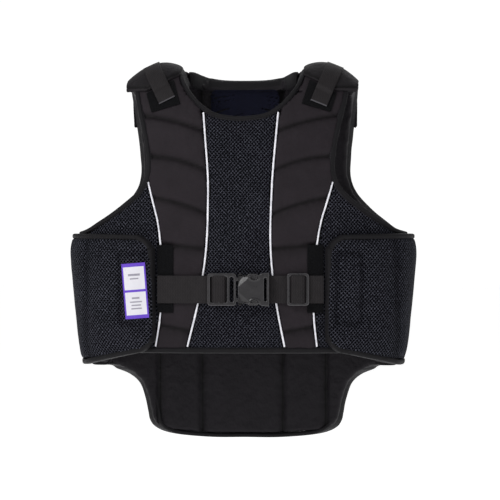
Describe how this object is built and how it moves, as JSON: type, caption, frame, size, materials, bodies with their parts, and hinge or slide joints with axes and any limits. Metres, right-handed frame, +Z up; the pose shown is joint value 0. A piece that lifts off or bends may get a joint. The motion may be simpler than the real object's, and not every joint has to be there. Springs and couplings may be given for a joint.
{
  "type": "equestrian body protector",
  "caption": "Padded sleeveless body protector with a hollow torso, quilted and mesh covers, shoulder tabs, side wings, a waist belt with a side-release buckle and a long back tail",
  "frame": {"origin": "the point midway between the shoulders at the height of the underside of the shoulder padding, where the garment hangs on the wearer", "axes": "X to the right as the front is seen, the front faces -Y, Z up"},
  "size_m": [0.488, 0.215, 0.5359],
  "materials": {
    "cover_nylon": "matt woven nylon, near black",
    "lining_nylon": "matt woven lining nylon, near black",
    "air_mesh": "open diamond spacer mesh, black with grey threads",
    "lining_mesh": "fine mesh, dark navy",
    "binding_tape": "twill binding tape, dark grey",
    "piping": "smooth pale reflective piping",
    "loop_patch": "fuzzy black loop pile",
    "webbing": "ribbed dark webbing",
    "buckle_plastic": "satin moulded plastic, black",
    "label_weave": "woven white label with a purple border"
  },
  "bodies": {
    "root": {"front_core": "lining_nylon", "back_core": "lining_nylon", "front_centre_mesh": "air_mesh", "front_left_side_mesh": "air_mesh", "front_right_side_mesh": "air_mesh", "front_left_chest": "cover_nylon", "front_right_chest": "cover_nylon", "back_centre_mesh": "air_mesh", "back_left_panel": "cover_nylon", "back_right_panel": "cover_nylon", "piping_inner_left": "piping", "piping_inner_right": "piping", "piping_outer_left": "piping", "piping_outer_right": "piping", "front_neck_binding": "binding_tape", "front_hem_binding": "binding_tape", "front_left_armhole_binding": "binding_tape", "front_right_armhole_binding": "binding_tape", "back_neck_binding": "binding_tape", "back_left_armhole_binding": "binding_tape", "back_right_armhole_binding": "binding_tape", "tail_binding": "binding_tape", "left_wing": "air_mesh", "right_wing": "air_mesh", "left_wing_binding": "binding_tape", "right_wing_binding": "binding_tape", "left_waist_loop": "loop_patch", "right_waist_loop": "loop_patch", "left_shoulder_loop": "loop_patch", "right_shoulder_loop": "loop_patch", "left_shoulder_tab": "cover_nylon", "right_shoulder_tab": "cover_nylon", "left_shoulder_strap": "webbing", "right_shoulder_strap": "webbing", "belt_left": "webbing", "belt_right": "webbing", "buckle_plug": "buckle_plastic", "buckle_socket": "buckle_plastic", "belt_slider": "buckle_plastic", "woven_label": "label_weave", "neck_lining": "lining_mesh"}
  },
  "joints": []
}
